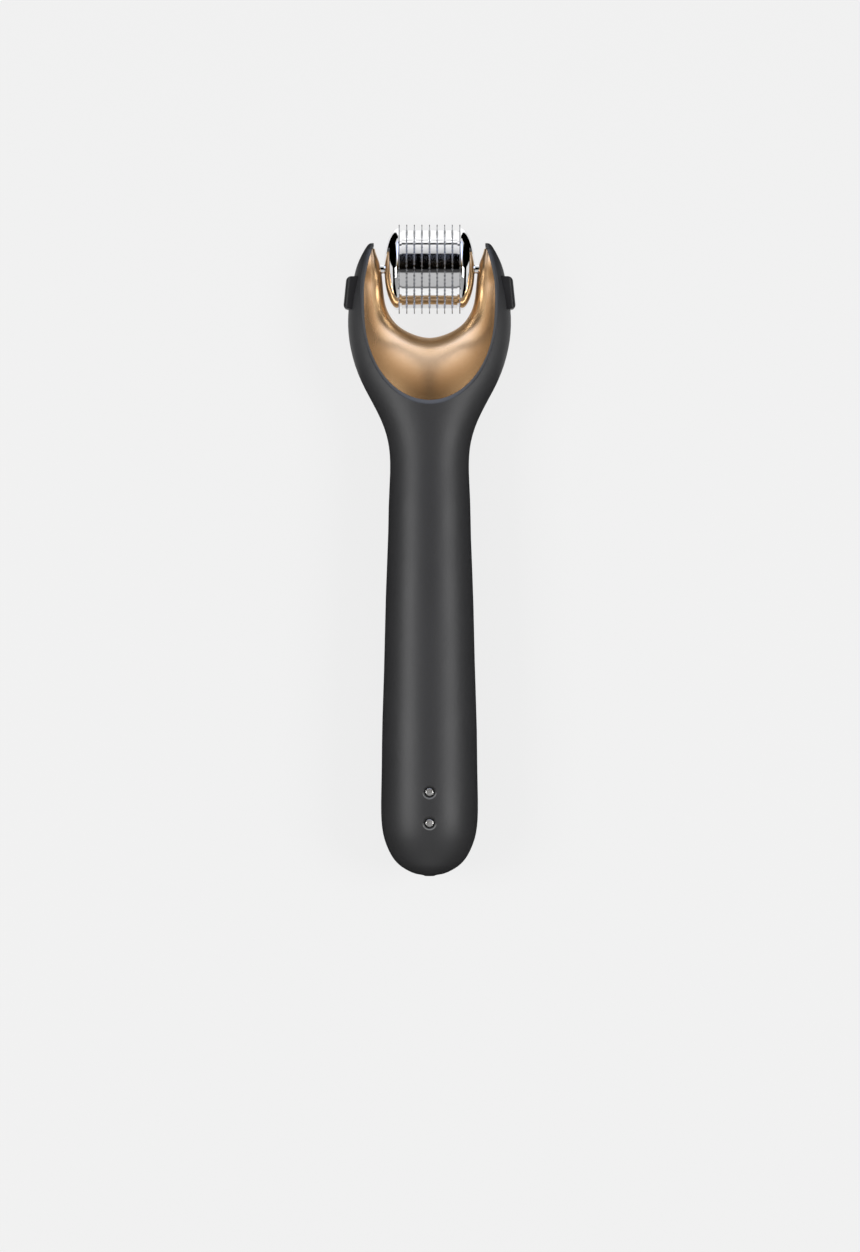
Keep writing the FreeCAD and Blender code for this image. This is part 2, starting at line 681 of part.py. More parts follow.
frame_form = block("frame_form", ("-board_half", "board_start + 3", "board_top"),
                   ("board_half", "frame_end", "frame_top"))
frame_rooms = [
    rod("battery_room", ("0", "battery_start - 0.4", "battery_height"), "+y",
        "battery_radius + loose_gap", "battery_length + 0.8"),
    block("battery_tab_room", ("-2.2", "battery_start - 0.4", "board_top - 1"),
          ("2.2", "battery_start + 0.1", "frame_top + 1")),
    block("battery_tab_room_high", ("-2.2", battery_end + " - 0.1", "board_top - 1"),
          ("2.2", battery_end + " + 0.4", "frame_top + 1")),
    rod("motor_room", ("0", "motor_start - 0.3", "motor_height"), "+y",
        "motor_radius + sleeve_wall", "motor_length + 0.6"),
    rod("weight_room", ("0", motor_end, "motor_height"), "+y", "weight_radius + 0.6", "20"),
    block("lead_room", ("-2.5", "motor_start - 6", "board_top - 1"),
          ("2.5", "motor_start", "frame_top + 1")),
]
nodes["inner_frame"] = cut("inner_frame", frame_form, frame_rooms + [nodes["frame_screws"]])

board_form = block("board_form", ("-board_half", "board_start", "board_top - board_thickness"),
                   ("board_half", "board_end", "board_top"))
nodes["main_board"] = cut("main_board", board_form, [nodes["frame_screws"]])
board_bottom = "board_top - board_thickness"
nodes["control_chip"] = block("control_chip", ("-2.5", "52", board_bottom + " - 1.1"),
                              ("2.5", "57", board_bottom))
nodes["charge_chip"] = block("charge_chip", ("-2", "40", board_bottom + " - 1.3"),
                             ("2", "44.5", board_bottom))
nodes["status_led"] = block("status_led", ("-0.8", "window_along - 0.8", board_bottom + " - 0.8"),
                            ("0.8", "window_along + 0.8", board_bottom))
switch_low = board_bottom + " - switch_height"
switch_form = block("switch_form", ("-switch_half", "power_along - switch_half", switch_low),
                    ("switch_half", "power_along + switch_half", board_bottom))
switch_hole = rod("switch_hole", ("0", "power_along", switch_low + " - 1"), "+z", "0.95", "1.9")
nodes["key_switch"] = cut("key_switch", switch_form, [switch_hole])
nodes["switch_stem"] = rod("switch_stem", ("0", "power_along", switch_low + " - switch_stem"),
                           "+z", "0.9", "switch_stem + 0.4")

charge_screw_parts = []
charge_middle = "(contact_low + contact_high) / 2"
charge_low = "charge_board_top - charge_board_thickness"
for side, word in ((1, "right"), (-1, "left")):
    at = ("%d * charge_screw_x" % side, charge_middle, charge_low)
    head = rod("charge_screw_head_" + word, at, "-z", "screw_head_radius", "screw_head")
    shank = rod("charge_screw_shank_" + word, at, "+z", "screw_radius", "3.2")
    charge_screw_parts.append(join("charge_screw_" + word, [head, shank]))
nodes["charge_board_screws"] = make("Part::Compound", "charge_board_screws")
nodes["charge_board_screws"].Links = charge_screw_parts

contact_parts = []
seal_parts = []
contact_tools = []
contact_seats = []
for place in ("low", "high"):
    along = "contact_" + place
    flange_low = "contact_seat - contact_seal - contact_flange"
    pin = join("contact_pin_form_" + place, [
        rod("contact_head_" + place, ("0", along, flange_low), "+z",
            "contact_radius", "contact_face - contact_seat + contact_seal + contact_flange"),
        rod("contact_flange_" + place, ("0", along, flange_low), "+z",
            "contact_flange_radius", "contact_flange"),
        rod("contact_stem_" + place, ("0", along, charge_low + " - 0.6"), "+z",
            "contact_stem_radius", "3"),
    ])
    nodes["charge_contact_" + place] = pin
    pin.Label = "charge_contact_" + place
    ring = rod("seal_form_" + place, ("0", along, "contact_seat - contact_seal"), "+z",
               "contact_flange_radius", "contact_seal")
    seal_parts.append(cut("contact_seal_" + place, ring, [pin]))
    contact_seats.append(rod("contact_seat_" + place, ("0", along, "contact_seat"), "+z",
                             "contact_flange_radius + 0.6", "5"))
    contact_tools.append(turned_body("contact_room_" + place, [
        ("contact_seat - 1", "0"),
        ("contact_seat - 1", "contact_radius + running_gap"),
        ("contact_floor", "contact_radius + running_gap"),
        ("contact_floor", "contact_bore_radius"),
        ("contact_bevel", "contact_bore_radius"),
        ("contact_bevel + 2", "contact_bore_radius + 2"),
        ("contact_bevel + 2", "0"),
    ], ("0", along, "0"), TURNS["x to z"]))
nodes["contact_seals"] = make("Part::Compound", "contact_seals")
nodes["contact_seals"].Links = seal_parts
charge_form = block("charge_board_form", ("-charge_board_half", "charge_board_start", charge_low),
                    ("charge_board_half", "charge_board_end", "charge_board_top"))
nodes["charge_board"] = cut("charge_board", charge_form, [
    nodes["charge_board_screws"], nodes["charge_contact_low"], nodes["charge_contact_high"]])

# Power button and light pipe on the front side

power_disc = rod("power_disc", ("0", "power_along", "power_flange_low"), "-z", "power_radius", "10")
power_cap = shared("power_cap", [power_disc, outer_form])
power_flange = rod("power_flange_disc", ("0", "power_along", "power_flange_low"), "+z",
                   "power_flange_radius", "power_flange")
power_nub = rod("power_nub", ("0", "power_along", "power_flange_low"), "+z", "1.5",
                "(%s) - switch_stem - running_gap - power_flange_low" % switch_low)
nodes["power_button"] = join("power_button", [power_cap, power_flange, power_nub])
window_rod = rod("window_rod", ("0", "window_along", board_bottom + " - 0.9"), "-z",
                 "window_radius", "12")
window_collar = rod("window_collar", ("0", "window_along", "window_collar_low"), "+z", "1.5", "0.6")
nodes["light_pipe"] = join("light_pipe", [shared("window_pipe", [window_rod, outer_form]),
                                          window_collar])

# Wires


def lead(label, points):
    """Insulated wire as a tube along a smooth curve through the points."""
    path = Part.BSplineCurve()
    path.interpolate([Vector(x, along + butt, height + axis) for x, along, height in points])
    wire = Part.Wire(path.toShape())
    start = wire.Edges[0]
    circle = Part.makeCircle(size("lead_radius"), start.valueAt(start.FirstParameter),
                             start.tangentAt(start.FirstParameter))
    return coded(label, wire.makePipeShell([Part.Wire(circle)], True, True))


charge_leads = []
motor_leads = []
motor_back = size("motor_start")
motor_middle = size("motor_height")
board_face = size("board_top")
for side, word in ((1, "right"), (-1, "left")):
    charge_leads.append(lead("charge_lead_" + word, [
        (side * 2.5, size("charge_board_end") - 1.2, size("charge_board_top") - 1.0),
        (side * 2.6, size("charge_board_end") - 1.0, 4.0),
        (side * 2.6, size("board_start") + 1.4, 0.0),
        (side * 2.5, size("board_start") + 1.5, board_face),
    ]))
    motor_leads.append(lead("motor_lead_" + word, [
        (side * 1.2, motor_back, motor_middle),
        (side * 1.2, motor_back - 1.6, motor_middle - 0.4),
        (side * 1.2, motor_back - 3.6, motor_middle - 2.6),
        (side * 1.2, motor_back - 4.2, board_face),
    ]))
nodes["charge_leads"] = make("Part::Compound", "charge_leads")
nodes["charge_leads"].Links = charge_leads
nodes["motor_leads"] = make("Part::Compound", "motor_leads")
nodes["motor_leads"].Links = motor_leads

# Casing: skin with its inside bosses, split at the axis into two shells

skin = cut("casing_skin", outer_form, [cavity, rim_region])
arm_parts = []
arm_rooms = []
for side, word in ((1, "right"), (-1, "left")):
    direction = "+x" if side > 0 else "-x"
    arm_parts.append(rod("spring_boss_" + word, ("%d * spring_boss_start" % side, "roller_station", "0"),
                         direction, "spring_boss_radius", "3"))
    edges = ["%d * (button_inner + button_tab + running_gap)" % side, "%d * 22" % side]
    low_x, high_x = edges if side > 0 else edges[::-1]
    button_low = "button_along - button_half_length - loose_gap"
    arm_parts.append(block("stop_rib_" + word, (low_x, button_low + " - 1.4", "-2.6"),
                           (high_x, button_low, "2.6")))
    arm_rooms.append(rod("spring_pocket_" + word,
                         ("%d * (spring_boss_start - 0.5)" % side, "roller_station", "0"), direction,
                         "spring_pocket_radius", "spring_seat - spring_boss_start + 0.5"))
    edges = ["%d * (button_inner - 3)" % side, "%d * 26" % side]
    low_x, high_x = edges if side > 0 else edges[::-1]
    arm_rooms.append(block("button_opening_" + word,
                           (low_x, button_low, "-button_half_width - loose_gap"),
                           (high_x, "button_along + button_half_length + loose_gap",
                            "button_half_width + loose_gap")))
arm_inserts = shared("arm_inserts", [join("arm_insert_forms", arm_parts), outer_form])
casing_open = cut("casing_open", join("casing_whole", [skin, arm_inserts]), arm_rooms)

rear_space = block("rear_space", ("-30", "-20", "0"), ("30", "200", "30"))
front_space = block("front_space", ("-30", "-20", "-30"), ("30", "200", "0"))
rear_skin = cut("rear_skin", shared("rear_half", [casing_open, rear_space]), [lip_room_rear])
front_skin = cut("front_skin", shared("front_half", [casing_open, front_space]), [lip_room_front])

# Snap posts: place, post and boss radius, half gap for a tab between the bosses
SNAP_POSTS = [
    ("butt", "0", "butt_post_along", "post_radius", "post_boss_radius", "0"),
    ("side_right", "side_post_x", "side_post_along", "side_post_radius", "side_boss_radius", "0"),
    ("side_left", "-side_post_x", "side_post_along", "side_post_radius", "side_boss_radius", "0"),
    ("saddle_right", "saddle_tab_x", "saddle_tab_along", "post_radius", "post_boss_radius",
     "saddle_tab_half"),
    ("saddle_left", "-saddle_tab_x", "saddle_tab_along", "post_radius", "post_boss_radius",
     "saddle_tab_half"),
]
front_parts = []
rear_parts = []
posts = []
rear_rooms = []
for word, x, along, post, boss, gap in SNAP_POSTS:
    front_parts.append(rod("front_boss_" + word, (x, along, "-(%s)" % gap), "-z", boss, "14"))
    rear_parts.append(rod("rear_boss_" + word, (x, along, gap), "+z", boss, "14"))
    posts.append(rod("post_" + word, (x, along, "-(%s) - 1" % gap), "+z", post,
                     "post_top + 1 + (%s)" % gap))
    rear_rooms.append(rod("post_room_" + word, (x, along, "-1"), "+z", post + " + running_gap",
                          "post_top + 1.3"))
for side, word in ((1, "right"), (-1, "left")):
    for place in ("low", "high"):
        front_parts.append(rod("frame_boss_%s_%s" % (place, word),
                               ("%d * frame_screw_x" % side, "frame_screw_" + place, board_bottom),
                               "-z", "screw_head_radius + 0.5", "14"))
    rear_parts.append(rod("charge_boss_" + word,
                          ("%d * charge_screw_x" % side, charge_middle, "charge_board_top"),
                          "+z", "screw_radius + 0.9", "14"))
rear_parts.append(cut("motor_rib",
                      block("motor_rib_form", ("-3", "motor_start + 5", "motor_height"),
                            ("3", "motor_start + 8", "14")), [sleeve_form]))
rear_inserts = shared("rear_inserts", [join("rear_insert_forms", rear_parts + contact_seats),
                                       outer_form])
front_inserts = shared("front_inserts", [join("front_insert_forms", front_parts), outer_form])
nodes["rear_shell"] = cut("rear_shell", join("rear_whole", [rear_skin, rear_inserts]),
                          rear_rooms + contact_tools + [nodes["charge_board_screws"]])
power_hole = rod("power_hole", ("0", "power_along", "0"), "-z", "power_radius + loose_gap", "14")
nodes["front_shell"] = cut("front_shell", join("front_whole", [front_skin, front_inserts] + posts),
                           [power_hole, window_rod, nodes["frame_screws"]])

pad_form = block("pad_form", ("-4", "battery_start + 14", "battery_height + 2"),
                 ("4", "battery_start + 30", "14"))
nodes["battery_pad"] = cut("battery_pad", shared("pad_trimmed", [pad_form, cavity]),
                           [nodes["battery"]])

# Roller: hexagonal hub with needle discs, spacer rings and domed end caps

HEXAGON = [(1.1547, 0), (0.57735, 1), (-0.57735, 1), (-1.1547, 0), (-0.57735, -1), (0.57735, -1)]
hub_outline = [("%s * hub_flat" % x, "%s * hub_flat" % y) for x, y in HEXAGON]
nodes["hub"] = padded_body("hub", hub_outline, "hub_half_length * 2",
                           ("0", "roller_station", "0"), TURNS["+x"])


def needle_disc(phase):
    count = int(size("needle_count"))
    step = 2 * math.pi / count
    root = size("needle_root_radius")
    spread = size("needle_root_half") / root
    corners = []
    for index in range(count):
        middle = step * (index + phase)
        for radius, angle in ((root, middle - spread), (size("needle_tip_radius"), middle),
                              (root, middle + spread)):
            corners.append(Vector(radius * math.cos(angle), radius * math.sin(angle), 0))
    hexagon = [Vector(x * size("hub_flat"), y * size("hub_flat"), 0) for x, y in HEXAGON]
    outlines = [Part.makePolygon(corners + corners[:1]), Part.makePolygon(hexagon + hexagon[:1])]
    face = Part.makeFace(outlines, "Part::FaceMakerCheese")
    return face.extrude(Vector(0, 0, size("disc_thickness")))


for index in range(9):
    name = "needle_disc_%d" % (index + 1)
    disc = coded(name, needle_disc(0.25 + 0.5 * (index % 2)))
    nodes[name] = put(disc, ("%d * disc_pitch - disc_thickness / 2" % (index - 4),
                             "roller_station", "0"), TURNS["+x"])

ring_half = "(disc_pitch - disc_thickness) / 2"
plain_ring = [
    ("-%s" % ring_half, "0"),
    ("-%s" % ring_half, "drum_radius - 0.15"),
    ("0.15 - %s" % ring_half, "drum_radius"),
    ("%s - 0.15" % ring_half, "drum_radius"),
    (ring_half, "drum_radius - 0.15"),
    (ring_half, "0"),
]
right_ring = plain_ring[:3] + [
    ("%s - drum_step" % ring_half, "drum_radius"),
    ("%s - drum_step" % ring_half, "drum_step_radius"),
    (ring_half, "drum_step_radius"),
    (ring_half, "0"),
]
left_ring = [("-(%s)" % x, y) for x, y in right_ring][::-1]
for index in range(8):
    name = "spacer_%d" % (index + 1)
    outline = left_ring if index == 0 else right_ring if index == 7 else plain_ring
    ring = turned_body(name + "_form", outline,
                       ("%s * disc_pitch" % (index - 3.5), "roller_station", "0"), None)
    nodes[name] = cut(name, ring, [nodes["hub"]])

cap_start = "disc_pitch * 4 + disc_thickness / 2"
cap_disc = rod("cap_disc", (cap_start, "roller_station", "0"), "+x", "cap_radius", "cap_rim")
cap_dome = make("Part::Ellipsoid", "cap_dome_form", Radius1="cap_dome", Radius2="cap_radius",
                Radius3="cap_radius")
cap_dome.Angle1 = 0
put(cap_dome, (cap_start + " + cap_rim", "roller_station", "0"), TURNS["+x"])
cap_bore = rod("cap_bore", ("pin_reach - 0.15", "roller_station", "0"), "+x",
               "pin_radius + running_gap", "4")
nodes["right_end_cap"] = cut("right_end_cap", join("right_cap_form", [cap_disc, cap_dome]),
                             [nodes["hub"], cap_bore])
nodes["left_end_cap"] = mirrored("left_end_cap", nodes["right_end_cap"])

# Check every object, then write one STEP file per node

doc.recompute()
for item in doc.Objects:
    if "Invalid" in item.State or "Error" in item.State:
        raise SystemExit("not built: %s %s" % (item.Label, item.State))
    if hasattr(item, "Shape") and item.TypeId != "App::Origin":
        if item.Shape.isNull() or not item.Shape.isValid():
            raise SystemExit("bad shape: " + item.Label)

os.makedirs("parts", exist_ok=True)
for name, item in nodes.items():
    print(name, len(item.Shape.Solids), round(item.Shape.Volume, 2))
    item.Shape.exportStep("parts/%s.step" % name)
print(len(nodes), "nodes")
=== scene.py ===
import math

import bpy
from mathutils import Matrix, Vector


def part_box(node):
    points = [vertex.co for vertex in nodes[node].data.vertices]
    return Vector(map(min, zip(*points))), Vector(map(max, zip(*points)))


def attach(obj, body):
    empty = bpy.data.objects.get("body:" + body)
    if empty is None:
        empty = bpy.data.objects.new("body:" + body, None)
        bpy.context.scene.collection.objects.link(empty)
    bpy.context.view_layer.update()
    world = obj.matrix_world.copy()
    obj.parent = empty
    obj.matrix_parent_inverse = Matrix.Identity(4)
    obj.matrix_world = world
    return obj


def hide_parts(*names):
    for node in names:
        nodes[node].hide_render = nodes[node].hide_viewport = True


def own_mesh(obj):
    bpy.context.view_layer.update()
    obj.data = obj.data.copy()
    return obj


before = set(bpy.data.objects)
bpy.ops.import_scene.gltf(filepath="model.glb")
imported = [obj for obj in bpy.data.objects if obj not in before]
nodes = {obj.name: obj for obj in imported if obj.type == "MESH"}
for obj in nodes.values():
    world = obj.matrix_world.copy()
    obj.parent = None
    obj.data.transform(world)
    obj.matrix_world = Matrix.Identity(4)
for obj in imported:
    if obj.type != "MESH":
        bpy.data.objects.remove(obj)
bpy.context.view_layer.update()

# Casing: two moulded half shells in charcoal soft-touch coating, snapped together along the
# sides. The coating has a fine even grain, and the joint shows as a hair-thin groove.


class Value:
    """A shader socket that ordinary arithmetic works on."""

    def __init__(self, paint, socket):
        self.paint = paint
        self.socket = socket

    def maths(self, operation, *others):
        sockets = {0: self}
        for index, other in enumerate(others, start=1):
            sockets[index] = other
        return self.paint.node("Math", {"operation": operation}, sockets)

    def __add__(self, other):
        return self.maths("ADD", other)

    __radd__ = __add__

    def __mul__(self, other):
        return self.maths("MULTIPLY", other)

    __rmul__ = __mul__

    def __sub__(self, other):
        return self.maths("SUBTRACT", other)

    def __rsub__(self, other):
        return (self * -1.0) + other

    def __truediv__(self, other):
        return self.maths("DIVIDE", other)

    def __pow__(self, other):
        return self.maths("POWER", other)

    def __abs__(self):
        return self.maths("ABSOLUTE")

    def root(self):
        return self.maths("SQRT")

    def wave(self):
        return self.maths("SINE")

    def below(self, limit):
        return self.maths("LESS_THAN", limit)

    def spread(self, low, high, to_low=0.0, to_high=1.0):
        """Maps low..high to to_low..to_high, held at both ends."""
        return self.paint.node("MapRange", {"clamp": True}, {
            "Value": self, "From Min": low, "From Max": high,
            "To Min": to_low, "To Max": to_high})


class Paint:
    """A procedural material around one Principled shader."""

    def __init__(self, name):
        self.material = bpy.data.materials.new(name)
        self.material.use_nodes = True
        self.tree = self.material.node_tree
        self.tree.nodes.clear()
        self.shader = self.tree.nodes.new("ShaderNodeBsdfPrincipled")
        self.surface = self.tree.nodes.new("ShaderNodeOutputMaterial").inputs["Surface"]
        self.tree.links.new(self.shader.outputs[0], self.surface)

    def node(self, kind, settings=None, sockets=None, output=0):
        made = self.tree.nodes.new("ShaderNode" + kind)
        for key, value in (settings or {}).items():
            if key == "stops":
                self.fill_ramp(made.color_ramp, value)
            else:
                setattr(made, key, value)
        for key, value in (sockets or {}).items():
            self.plug(value, made.inputs[key])
        return Value(self, made.outputs[output])

    def fill_ramp(self, ramp, stops):
        while len(ramp.elements) < len(stops):
            ramp.elements.new(0.5)
        for element, (place, colour) in zip(ramp.elements, stops):
            element.position = place
            element.color = colour + (1.0,)

    def plug(self, value, socket):
        if isinstance(value, Value):
            self.tree.links.new(value.socket, socket)
        else:
            socket.default_value = value

    def set(self, sockets):
        for name, value in sockets.items():
            self.plug(value, self.shader.inputs[name])
        return self

    def point(self):
        """The point's own coordinates in metres, as one vector."""
        return self.node("TexCoord", output="Object")

    def place(self):
        """The same coordinates, as one vector and as x, y, z."""
        point = self.point()
        split = self.node("SeparateXYZ", None, {0: point})
        parts = [Value(self, split.socket.node.outputs[index]) for index in range(3)]
        return [point] + parts

    def noise(self, point, scale, detail=2.0, stretch=(1, 1, 1)):
        moved = self.node("Mapping", None, {"Vector": point, "Scale": stretch})
        return self.node("TexNoise", None, {"Vector": moved, "Scale": scale, "Detail": detail})

    def mix(self, mask, first, second):
        """Colour between two colours by a mask."""
        return self.node("Mix", {"data_type": "RGBA"}, {0: mask, 6: first, 7: second}, output=2)

    def bump(self, height, strength, depth):
        return self.node("Bump", None, {"Height": height, "Strength": strength, "Distance": depth})


def wear(material, *names):
    """Gives a material to CAD nodes or pieces, in place of what they had."""
    for name in names:
        obj = nodes[name] if isinstance(name, str) else name
        obj.data.materials.clear()
        obj.data.materials.append(material)


def soft_touch():
    """Charcoal coating, with painted highlights on the bevelled lip around the saddle and on the
    lower side of the bevelled contact mouths.
    """
    paint = Paint("soft_touch_coating")
    point, x, y, z = paint.place()
    grain = paint.noise(point, 5200.0, 3.0)
    cloud = paint.noise(point, 60.0, 2.0)
    tone = paint.mix(cloud, (0.021, 0.021, 0.022, 1), (0.024, 0.024, 0.025, 1))
    lip_centre, lip_half_width = 0.0656, 0.0176
    lip_to_tips, lip_to_handle = 0.0321, 0.0254
    handle_starts = 0.03
    rise = y - lip_centre
    ahead = rise / (lip_to_tips - rise.below(0.0) * (lip_to_tips - lip_to_handle))
    ring = ((x / lip_half_width) ** 2 + ahead * ahead).root()
    # Painted highlight: the bevelled lip round the saddle is coloured a lighter grey, as if it
    # caught the light. The same mask also makes the lip a little glossier.
    lip_highlight = ring.spread(1.026, 1.046, 1.0, 0.0) * (1.0 - y.below(handle_starts))
    tone = paint.mix(lip_highlight, tone, (0.068, 0.070, 0.073, 1))
    rear_side = 1.0 - z.below(0.018)
    bevel_inside, bevel_outside = (0.00150, 0.00158), (0.00186, 0.00196)
    for name in ("charge_contact_low", "charge_contact_high"):
        low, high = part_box(name)
        below = (low.y + high.y) / 2 - y
        reach = (x * x + below * below).root()
        # Painted highlight: a lighter crescent on the lower side of each contact's bevelled mouth.
        mouth_highlight = reach.spread(*bevel_inside) * reach.spread(*bevel_outside, 1.0, 0.0)
        tone = paint.mix(mouth_highlight * below.spread(0.0, 0.0008) * rear_side, tone, (0.16, 0.16, 0.16, 1))
    parting_height = 0.012
    groove_floor, groove_edge = 0.00005, 0.00016
    seam = abs(z - parting_height).spread(groove_floor, groove_edge)
    tone = paint.mix(seam, (0.008, 0.008, 0.008, 1), tone)
    height = grain * 0.25 + seam * 3.0
    return paint.set({
        "Base Color": tone,
        "Roughness": cloud.spread(0.3, 0.7, 0.49, 0.53) - lip_highlight * 0.15,
        "Specular IOR Level": 0.5,
        "Normal": paint.bump(height, 0.25, 0.00004),
    }).material


wear(soft_touch(), "rear_shell", "front_shell")

# Saddle: a moulded U that lines the fork, plated in glossy rose gold. It sits just below the
# casing lip and bulges towards the roller. The plating has a faint ripple, and is duller along
# the edge of the throat, where a browner painted shade stands in for the dark reflection there.


def rose_gold():
    paint = Paint("rose_gold_plating")
    point, x, y, z = paint.place()
    ripple = paint.noise(point, 160.0, 2.0)
    haze = paint.noise(point, 45.0, 3.0)
    tone = paint.mix(haze, (0.79, 0.505, 0.255, 1), (0.82, 0.53, 0.275, 1))
    throat_centre, throat_depth, throat_half_width = 0.0709, 0.0135, 0.0126
    below = (throat_centre - y) / throat_depth
    throat = ((x / throat_half_width) ** 2 + (below * (1.0 - below.below(0.0))) ** 2).root()
    # Painted shade: darker, browner gold along the edge of the throat, standing in for a dark
    # reflection. The same mask also raises the roughness there.
    dull_and_shaded_edge = throat.spread(1.04, 1.26, 1.0, 0.0)
    tone = paint.mix(dull_and_shaded_edge, tone, (0.52, 0.32, 0.15, 1))
    return paint.set({
        "Base Color": tone,
        "Metallic": 1.0,
        "Roughness": haze.spread(0.3, 0.7, 0.25, 0.28) + dull_and_shaded_edge * 0.14,
        "Normal": paint.bump(ripple, 0.02, 0.00005),
    }).material


wear(rose_gold(), "saddle")

# Roller drum: stamped needle discs between plated spacer rings on a hexagonal hub, closed by
# two domed end caps that run on the lock pins.


def chrome(name, level, roughness):
    paint = Paint(name)
    point = paint.point()
    smear = paint.noise(point, 220.0, 4.0)
    ripple = paint.noise(point, 90.0, 1.0)
    tone = paint.mix(smear, (level, level, level * 1.005, 1),
                     (level * 0.94, level * 0.94, level * 0.95, 1))
    return paint.set({
        "Base Color": tone,
        "Metallic": 1.0,
        "Roughness": smear.spread(0.35, 0.75, roughness, roughness + 0.05),
        "Normal": paint.bump(ripple, 0.04, 0.0001),
    }).material


def ring_chrome():
    paint = Paint("turned_chrome")
    point = paint.point()
    turning = paint.noise(point, 900.0, 2.0, stretch=(12, 0.4, 0.4))
    smear = paint.noise(point, 250.0, 3.0)
    return paint.set({
        "Base Color": paint.mix(smear, (0.82, 0.82, 0.83, 1), (0.74, 0.74, 0.75, 1)),
        "Metallic": 1.0,
        "Roughness": smear.spread(0.3, 0.7, 0.05, 0.10),
        "Normal": paint.bump(turning, 0.06, 0.00002),
    }).material


def stamped_steel():
    paint = Paint("stamped_steel")
    point = paint.point()
    brushing = paint.noise(point, 2600.0, 3.0, stretch=(1, 6, 1))
    return paint.set({
        "Base Color": paint.mix(brushing, (0.56, 0.57, 0.58, 1), (0.7, 0.71, 0.72, 1)),
        "Metallic": 1.0,
        "Roughness": brushing.spread(0.2, 0.8, 0.16, 0.3),
        "Normal": paint.bump(brushing, 0.1, 0.00001),
    }).material


mirror = chrome("mirror_chrome", 0.86, 0.03)
wear(mirror, "left_end_cap", "right_end_cap", "left_lock_pin", "right_lock_pin")
wear(ring_chrome(), *["spacer_%d" % (index + 1) for index in range(8)])
steel = stamped_steel()
wear(steel, *["needle_disc_%d" % (index + 1) for index in range(9)])

# Release levers, pivot pins, screws and motor shaft: stamped, turned and drawn steel. The levers
# rock on the pivot pins, which sit in bosses inside the saddle.

wear(steel, "left_lever", "right_lever", "left_pivot_pin", "right_pivot_pin",
     "frame_screws", "charge_board_screws", "motor_shaft")

# Lock springs: wound steel wire between the flange of each lock pin and the arm. Each coil
# stays with the handle.


def own_copy(node, name):
    """Free copy of a CAD node's mesh with its corners merged."""
    made = bpy.data.objects.new(name, nodes[node].data.copy())
    bpy.context.scene.collection.objects.link(made)
    bpy.ops.object.select_all(action="DESELECT")
    made.select_set(True)
    bpy.context.view_layer.objects.active = made
    bpy.ops.object.mode_set(mode="EDIT")
    bpy.ops.mesh.select_all(action="SELECT")
    bpy.ops.mesh.remove_doubles(threshold=0.000002)
    bpy.ops.object.mode_set(mode="OBJECT")
    return made


def stand_in(obj, material, slotname, body, *names):
    """Finishes a piece that takes the place of CAD nodes."""
    bpy.ops.object.select_all(action="DESELECT")
    obj.select_set(True)
    bpy.context.view_layer.objects.active = obj
    bpy.ops.object.shade_smooth_by_angle(angle=math.radians(32))
    wear(material, obj)
    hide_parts(*names)
    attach(obj, body)


for side, word in ((-1, "left"), (1, "right")):
    name = word + "_spring"
    low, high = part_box(name)
    coil = own_copy(name, word + "_coil")
    stand_in(coil, steel, "spring_steel", "handle", name)
    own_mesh(coil)

# Release buttons: one on the outside of each arm, moulded in satin black and guided by the
# casing opening. A tab keeps it in, and its nose pushes the lever. The outer rim is well rounded.


def moulded(name, dark, light, roughness, grain_scale, grain_depth, shine=0.5):
    paint = Paint(name)
    point = paint.point()
    grain = paint.noise(point, grain_scale, 3.0)
    cloud = paint.noise(point, 150.0, 2.0)
    return paint.set({
        "Base Color": paint.mix(cloud, dark + (1,), light + (1,)),
        "Roughness": cloud.spread(0.3, 0.7, roughness, roughness + 0.06),
        "Specular IOR Level": shine,
        "Normal": paint.bump(grain, 0.3, grain_depth),
    }).material


satin_black = moulded("satin_black", (0.010, 0.010, 0.011), (0.013, 0.013, 0.014),
                      0.36, 4000.0, 0.00002, shine=0.3)


def solid_block(name, low, high):
    """Box between two corners, made from a cube."""
    bpy.ops.object.select_all(action="DESELECT")
    bpy.ops.mesh.primitive_cube_add(size=1.0)
    made = bpy.context.object
    made.name = name
    made.scale = [abs(b - a) for a, b in zip(low, high)]
    made.location = [(a + b) / 2 for a, b in zip(low, high)]
    bpy.ops.object.transform_apply(location=True, rotation=True, scale=True)
    return made


def pick(obj, test):
    """Opens the mesh with the edges selected whose two ends pass the test."""
    bpy.ops.object.select_all(action="DESELECT")
    obj.select_set(True)
    bpy.context.view_layer.objects.active = obj
    bpy.ops.object.mode_set(mode="EDIT")
    bpy.ops.mesh.select_mode(type="EDGE")
    bpy.ops.mesh.select_all(action="DESELECT")
    bpy.ops.object.mode_set(mode="OBJECT")
    for edge in obj.data.edges:
        edge.select = all(test(obj.data.vertices[end].co) for end in edge.vertices)
    bpy.ops.object.mode_set(mode="EDIT")


def round_edges(obj, test, width, segments):
    pick(obj, test)
    bpy.ops.mesh.bevel(offset=width, segments=segments, affect="EDGES", clamp_overlap=True)
    bpy.ops.object.mode_set(mode="OBJECT")


